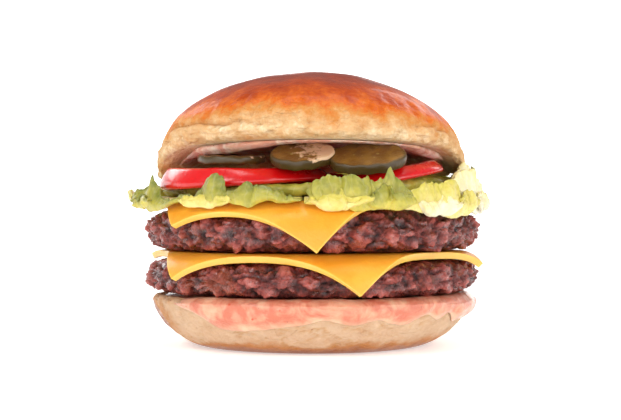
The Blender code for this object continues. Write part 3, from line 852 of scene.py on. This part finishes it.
def makeCrown():
    radius, height, widest = crownLook["radius"], crownLook["height"], crownLook["widest"]
    profile = [(0, 0), (12, 0), (24, 0), (32, 0), (38, 0), (41, 0), (43, 0), (44.5, 0)]
    rim = [(44.5, 0), (47, 0.1), (49.3, 0.5), (51.2, 1.5), (52.2, 2.6), (radius, widest)]
    rimSteps, domeSteps, slope = crownLook["rimSteps"], crownLook["domeSteps"], crownLook["slope"]
    profile += [smoothPath(rim, step / rimSteps) for step in range(1, rimSteps + 1)]
    for step in range(1, domeSteps + 1):
        turn = step / domeSteps * math.pi / 2
        up = widest + (height - widest) * math.sin(turn) ** slope
        profile.append((radius * math.cos(turn) ** slope, up))
    profile[-1] = (0, height)
    bm = spun(profile, 330)
    bake = bm.verts.layers.float.new("bake")
    cleft = bm.verts.layers.float.new("cleft")
    level = bm.verts.layers.float.new("up")
    for vert in bm.verts:
        (azimuth, out), up = polar(vert.co), vert.co.z
        vert[level] = up
        vert.co = onCrown(azimuth, out, up)
        ragged = 1.6 * cloud((azimuth * 0.5, 0, 3), 5, 3, 2) + 1.1 * cloud(vert.co, 5, 3, 12)
        edge = 7.6 + ragged - 1.6 * near(azimuth, 70, 25) + 1.6 * near(azimuth, -14, 20)
        crust = ease(up, edge - 5.5, edge + 8.0)
        vert[bake] = (0.17 + 0.57 * crust + 0.26 * ease(up, 15, 25)) if up > 0.4 else 0.05
        vert[cleft] = 0.0

    def wrinkle(vert):
        azimuth, up = bearing(vert.co.x, vert.co.y), vert[level]
        if up < 0.05:
            return 0.0
        low = ease(up, 0.3, 1.5)
        shoulder = ease(up, 2.0, 6.0) * (1 - ease(up, 10.5, 18.0))
        soft = 0.8 * cloud(vert.co, 24, 2, 21) * ease(up, 4, 12)
        arc = azimuth * 0.92
        streak = cloud((arc, up * 0.38, 0), 3.4, 3, 7) * (0.6 + 1.7 * near(azimuth, -14, 15))
        crumple = cloud((arc, up * 1.2, 0), 3.2, 3, 17)
        crack = 1 - ease(abs(cloud((arc, up * 1.6, 0), 7.0, 3, 27)), 0.0, 0.09)
        line = 6.2 + 1.1 * cloud((arc * 0.3, 0, 0), 3.0, 3, 31) + 1.8 * near(azimuth, -62, 18)
        present = max(near(azimuth, -46, 30), 0.8 * near(azimuth, 160, 40),
                      0.55 * near(azimuth, 52, 16))
        crease = math.exp(-((up - line) / 0.6) ** 2) * present
        roll = math.exp(-((up - line + 1.9) / 1.3) ** 2) * present
        second = math.exp(-((up - line + 3.4) / 0.4) ** 2) * present * ease(crumple, -0.3, 0.3)
        fissure = crack * (1 - ease(up, 5.5, 9.5)) * ease(cloud(vert.co, 10, 1, 33), -0.2, 0.3)
        # the creases and fissures are kept for painted shade in the crust's colour
        vert[cleft] = min(1.0, crease + 0.6 * second + 0.6 * fissure)
        crumbs = 0.5 * cloud(vert.co, 2.0, 3, 41) + 0.8 * cloud(vert.co, 4.6, 3, 43)
        rough = crumbs * (1 - ease(up, 4.5, 10)) + shoulder * (0.42 * streak + 0.30 * crumple)
        dent = -0.6 * ease(cloud(vert.co, 5.5, 2, 55), 0.25, 0.6) * shoulder
        raised = soft + rough + dent + 0.8 * roll
        return low * (raised - 1.5 * crease - 0.6 * second - 0.5 * fissure)

    pushed(bm, wrinkle)
    stops = [(0.04, crownLook["dough"]), (0.2, crownLook["cream"]), (0.42, crownLook["golden"]),
             (0.6, crownLook["orange"]), (0.78, crownLook["brown"]), (1.0, crownLook["deep"])]
    finish = bunFinish("crownCrust", {"stops": stops, "shade": tint(190, 130, 74)})
    return finished("crownBun", bm, finish, ["crown"])


def makeCrownSauce():
    # a thin coat that follows the crown's underside and hangs in low rolls near its edge
    rings = [0, 14, 26, 34, 38, 40, 41.5, 43, 44.2, 45]
    bm = spun([(out, 0) for out in rings] + [(out, 1) for out in reversed(rings)], 180)
    thin = bm.verts.layers.float.new("thin")
    for vert in bm.verts:
        (azimuth, out), side = polar(vert.co), vert.co.z
        wide = 1 + 0.035 * cloud((azimuth * 0.2, 0, 0), 3, 3, 14) * ease(out, 34, 44)
        spot = atAzimuth(azimuth, out * wide, 0)
        hang = sum(drop * near(azimuth, centre, spread)
                   for drop, centre, spread in ((2.3, -42, 24), (1.4, 62, 16), (0.9, 180, 34)))
        fat = (0.8 + hang * ease(out, 30, 40)) * (1 - 0.55 * ease(out, 43, 45))
        fat += 0.3 * cloud(spot, 6, 2, 15) * (1 - ease(out, 42, 45))
        spot.z = crownSeat(spot.x, spot.y) - 0.15 - fat * (1 - side)
        spot.x += crownLook["shift"]
        vert.co = spot
        vert[thin] = 0.55 * ease(cloud(spot, 6, 2, 19), 0.0, 0.5)
    finish = sauceFinish("crownSauceCoat", tint(222, 158, 134), tint(248, 218, 200), 0.0)
    return finished("crownSauce", bm, finish, ["crown_sauce"])


makeHeel()
makeHeelSauce()
print("heel and sauce made")

meat = meatFinish()
makePatty("lowerPatty", "patty_lower", 1.0, meat)
makePatty("upperPatty", "patty_upper", 2.0, meat)
print("patties made")

cheese = cheeseFinish()
for layer, seed in (("lower", 1.5), ("upper", 4.5)):
    pattyTop = boxOf("patty_" + layer)[1].z
    makeCheese(layer + "Cheese", "cheese_" + layer, cheeseLook[layer], pattyTop + 0.6, cheese, seed)
print("cheese draped")

frillLeaf = leafFinish("frilledLeaf", 0.02, 0.10)
paleLeaf = leafFinish("paleLeaf", 0.20, 0.0)
ribLeaf = leafFinish("leafRib", 0.42, -0.14)
shadedLeaf = leafFinish("shadedLeaf", -0.04, 0.12)
leaves = {
    "lettuce_left_rib": {
        "span": (-110, -74), "inner": 24, "fold": 54, "reach": 61.2, "low": 48.6, "top": 51.4,
        "crests": [(-84, 1.6, 6)], "waves": 0.6, "ruffle": 0.5, "thick": 1.5, "torn": 0.3,
        "lobe": 0.3, "wave": 0.3, "inward": -0.6, "finish": paleLeaf,
    },
    "lettuce_left_curl": {
        "span": (-78, -44), "inner": 28, "fold": 58.4, "reach": 61.4, "low": 46.8, "top": 51.0,
        "crests": [(-61, 5.0, 5), (-70, 1.6, 4), (-49, -2.0, 4)], "waves": 1.6, "ruffle": 1.5,
        "finish": shadedLeaf, "inward": 1.4, "lobe": 0.5,
    },
    "lettuce_left_frill": {
        "span": (-47, -3), "inner": 38, "fold": 58.4, "reach": 61.0, "low": 47.6, "top": 51.2,
        "crests": [(-31, 5.6, 4), (-19, 3.4, 5), (-10, 2.2, 4)], "waves": 3.2, "ruffle": 1.4,
        "finish": shadedLeaf, "lobe": 0.6,
    },
    "lettuce_front_fold": {
        "span": (-2, 33), "inner": 40, "fold": 58.4, "reach": 61.4, "low": 46.4, "top": 54.6,
        "blunt": 0.3, "crests": [(4, 2.4, 4), (11, 2.0, 3), (25, 4.4, 3)], "waves": 2.4,
        "ruffle": 1.6, "finish": frillLeaf, "lobe": 0.6,
    },
    "lettuce_right_curl": {
        "span": (27, 62), "inner": 42, "fold": 58.8, "reach": 61.4, "low": 44.2, "top": 52.6,
        "blunt": 0.25, "crests": [(36, 2.2, 4), (47, 2.4, 4)], "waves": 2.2, "ruffle": 1.6,
        "finish": paleLeaf, "wave": 1.8,
    },
    "lettuce_right_rib": {
        "span": (47, 91), "inner": 38, "fold": 56.6, "reach": 59.2, "low": 45.0, "top": 57.4,
        "blunt": 0.25, "crests": [(60, 2.4, 6), (72, 1.4, 5), (86, -4.0, 7)], "waves": 1.2,
        "ruffle": 1.2, "thick": 1.0, "torn": 0.7, "finish": ribLeaf,
    },
    "lettuce_right_tip": {
        "span": (82, 120), "inner": 28, "fold": 54.5, "reach": 57.6, "low": 47.4, "top": 59.0,
        "crests": [(93, 2.4, 6), (108, 1.0, 6)], "waves": 1.8, "ruffle": 1.2, "finish": frillLeaf,
    },
    "lettuce_inner_rib": {
        "span": (60, 110), "inner": 26, "fold": 44, "reach": 54.0, "low": 54.0, "top": 61.5,
        "bed": 52.3, "waves": 2.0, "ruffle": 1.0, "thick": 1.0, "inward": 0.4, "finish": ribLeaf,
    },
    "lettuce_back_right": {
        "span": (114, 164), "inner": 22, "fold": 56.5, "reach": 60.4, "low": 47.4, "top": 59.6,
        "crests": [(132, 1.4, 6), (150, 1.0, 5)], "blunt": 0.2, "waves": 2.6, "ruffle": 1.4,
        "finish": frillLeaf,
    },
    "lettuce_back_middle": {
        "span": (159, 207), "inner": 22, "fold": 57.0, "reach": 60.5, "low": 47.2, "top": 59.4,
        "blunt": 0.2, "crests": [(166, 3.0, 6), (175, 1.6, 6), (196, 1.2, 5)], "waves": 2.8,
        "ruffle": 1.4, "finish": paleLeaf,
    },
    "lettuce_back_left": {
        "span": (205, 254), "inner": 22, "fold": 57.0, "reach": 60.8, "low": 47.4, "top": 55.6,
        "crests": [(220, 3.0, 6), (240, 2.2, 6)], "waves": 3.0, "ruffle": 1.3,
        "finish": frillLeaf,
    },
}
for count, (node, leaf) in enumerate(leaves.items()):
    makeLeaf(pieceName(node), [node], leaf, leaf["finish"], 1.3 + 2.1 * count)

# smaller torn leaves lie over the big ones
tornLook = {"inner": 50, "fold": 58.6, "waves": 1.4, "ruffle": 1.8, "blunt": 0.6, "torn": 1.8,
            "lobe": 1.0, "inward": 0.4, "thick": 0.6}
tornLeaves = [  # name, span, lowest and highest point, reach and finish
    ("tornLeafLeft", (-72, -57), 46.8, 50.4, 62.4, frillLeaf),
    ("tornLeafFrill", (-42, -24), 46.6, 50.6, 62.2, paleLeaf),
    ("tornLeafFront", (-1, 17), 46.2, 51.4, 62.6, paleLeaf),
    ("tornLeafFold", (15, 31), 46.4, 52.6, 62.4, frillLeaf),
    ("tornLeafWhite", (33, 50), 43.4, 50.2, 62.8, ribLeaf),
    ("tornLeafRight", (48, 62), 45.0, 51.5, 62.2, paleLeaf),
    ("tornLeafSide", (66, 84), 45.6, 52.0, 60.6, ribLeaf),
    ("tornLeafBackRight", (126, 144), 46.6, 51.5, 62.2, paleLeaf),
    ("tornLeafBack", (168, 190), 46.4, 51.8, 62.0, frillLeaf),
    ("tornLeafBackLeft", (224, 243), 46.6, 51.5, 61.8, paleLeaf),
]
for count, (made, span, low, top, reach, finish) in enumerate(tornLeaves):
    leaf = {**tornLook, "span": span, "low": low, "top": top, "reach": reach}
    makeLeaf(made, [], leaf, finish, 41.0 + 1.9 * count)


def makeLettuceBed():
    # shredded lettuce pressed flat under the tomatoes, in a deeper green that is painted shade for
    # the gaps between the leaves
    bm = spun([(0, 50.6), *[(3.0 * step, 50.6) for step in range(1, 17)], (50, 52.4),
               *[(3.0 * step, 54.2) for step in range(16, 0, -1)], (0, 54.2)], 150)
    along = bm.verts.layers.float.new("along")
    across = bm.verts.layers.float.new("across")
    for vert in bm.verts:
        azimuth, out = polar(vert.co)
        wide = 1 + 0.05 * cloud((azimuth * 0.4, 0, 0), 4, 3, 71) * ease(out, 30, 48)
        crumple = pebbles((vert.co.x, vert.co.y, 0), 7.0, 73) - 0.5 + 0.6 * cloud(vert.co, 4, 3, 75)
        rise = 2.6 * ease(vert.co.x, 20, 38) * (1 - ease(vert.co.y, 0, 20)) * (vert.co.z > 52)
        vert.co = Vector((vert.co.x * wide, vert.co.y * wide, vert.co.z + 0.9 * crumple + rise))
        # deep green over the whole bed: painted shade where it shows between the leaves
        vert[along] = 0.8 + 0.4 * cloud(vert.co, 9, 2, 77)
        vert[across] = azimuth * 0.4
    return finished("lettuceBed", bm, frillLeaf, [])


makeLettuceBed()
print("lettuce made")

tomatoes = {
    "tomato_left": {"centre": (-21.5, -19), "radius": 28.5, "base": 54.4, "depth": 5.4,
                    "tilt": (1.5, 0, 0), "wedge": 1.8},
    "tomato_right": {"centre": (20, -21), "radius": 25.0, "base": 54.1, "depth": 4.3,
                     "tilt": (1.5, -11, 0)},
    "tomato_back": {"centre": (0, 31), "radius": 20.5, "base": 53.3, "depth": 4.4,
                    "tilt": (-4.9, 0, 0)},
}
ripe = tomatoFinish()
for count, (node, cut) in enumerate(tomatoes.items(), start=1):
    makeTomato(node, cut, ripe, count)

pickles = {
    "pickle_left": {"centre": (-25.5, -32), "radius": 11.2, "base": 61.2, "depth": 2.4,
                    "tilt": (4, 0, 0), "smear": 0.5, "oval": 1.0, "seed": 1.0},
    "pickle_middle": {"centre": (-2.5, -39.8), "radius": 10.6, "base": 61.8, "depth": 3.2,
                      "tilt": (25, -4, 8), "smear": 0.8, "oval": 0.78, "seed": 2.4},
    "pickle_right": {"centre": (18.0, -40.8), "radius": 12.6, "base": 60.9, "depth": 3.2,
                     "tilt": (27, 0, -8), "smear": 0.0, "oval": 0.74, "seed": 3.1},
}
brined = pickleFinish()
for node, cut in pickles.items():
    makePickle(node, cut, brined)
print("tomatoes and pickles made")

makeCrownSauce()
makeCrown()
print("crown made")


studio = {
    "floor": tint(240, 240, 240), "sky": 0.30,
    "cameraPlace": (0.0, -0.5, 0.046), "lens": 84.0,
    "lights": [  # name, place, aim, (width, height), watts
        ("keyLight", (-0.42, -0.50, 0.48), (0, 0, 0.06), (0.26, 0.26), 1.7),
        ("fillLight", (0.50, -0.42, 0.30), (0, 0, 0.05), (0.36, 0.36), 1.1),
        ("topLight", (0.02, -0.06, 0.62), (0, 0, 0.07), (0.44, 0.30), 1.6),
        ("leftRearLight", (-0.41, 0.46, 0.40), (0, 0, 0.07), (0.28, 0.30), 1.1),
        ("rightRearLight", (0.34, 0.50, 0.46), (0, 0, 0.07), (0.30, 0.26), 0.8),
        ("frontLight", (0.0, -0.75, 0.16), (0, 0, 0.05), (0.50, 0.25), 0.8),
    ],
}


def makeFloor():
    # in metres; the floor turns up into a low wall far away, so that no horizon shows
    bm = spun(((0, 0), (3.6, 0), (4.0, 0.2), (4.1, 1.0)), 48)
    mesh = bpy.data.meshes.new("studioFloor")
    bm.to_mesh(mesh)
    bm.free()
    shop = Shop("paleFloor", Roughness=0.9, Base_Color=studio["floor"], Emission_Strength=1.0)
    here = shop.add("ShaderNodeTexCoord", {}, {}, "Object")
    far = shop.add("ShaderNodeVectorMath", {"operation": "LENGTH"}, {0: here}, "Value")
    glow = shop.mix(shop.step(far, 0.12, 0.9), (0.5, 0.5, 0.5, 1), (1, 1, 1, 1))
    mesh.materials.append(shop.wear(Emission_Color=glow))
    floor = bpy.data.objects.new("studioFloor", mesh)
    bpy.context.scene.collection.objects.link(floor)


def makeLight(name, place, aim, size, watts):
    lamp = bpy.data.lights.new(name, "AREA")
    lamp.shape = "RECTANGLE"
    lamp.size, lamp.size_y = size
    lamp.energy = watts
    light = bpy.data.objects.new(name, lamp)
    light.location = place
    light.rotation_euler = (Vector(aim) - Vector(place)).to_track_quat("-Z", "Y").to_euler()
    bpy.context.scene.collection.objects.link(light)


def makeStudio():
    makeFloor()
    for lamp in studio["lights"]:
        makeLight(*lamp)
    world = bpy.data.worlds.new("studioWorld")
    world.use_nodes = True
    sky = world.node_tree.nodes["Background"]
    sky.inputs["Color"].default_value = (1, 1, 1, 1)
    sky.inputs["Strength"].default_value = studio["sky"]
    bpy.context.scene.world = world
    lens = bpy.data.cameras.new("studioCamera")
    lens.lens = studio["lens"]
    lens.sensor_width = 36.0
    camera = bpy.data.objects.new("studioCamera", lens)
    camera.location = studio["cameraPlace"]
    camera.rotation_euler = (math.radians(90), 0, 0)
    bpy.context.scene.collection.objects.link(camera)
    bpy.context.scene.camera = camera
    bpy.context.scene.view_settings.view_transform = "Standard"


makeStudio()
print("studio lit")
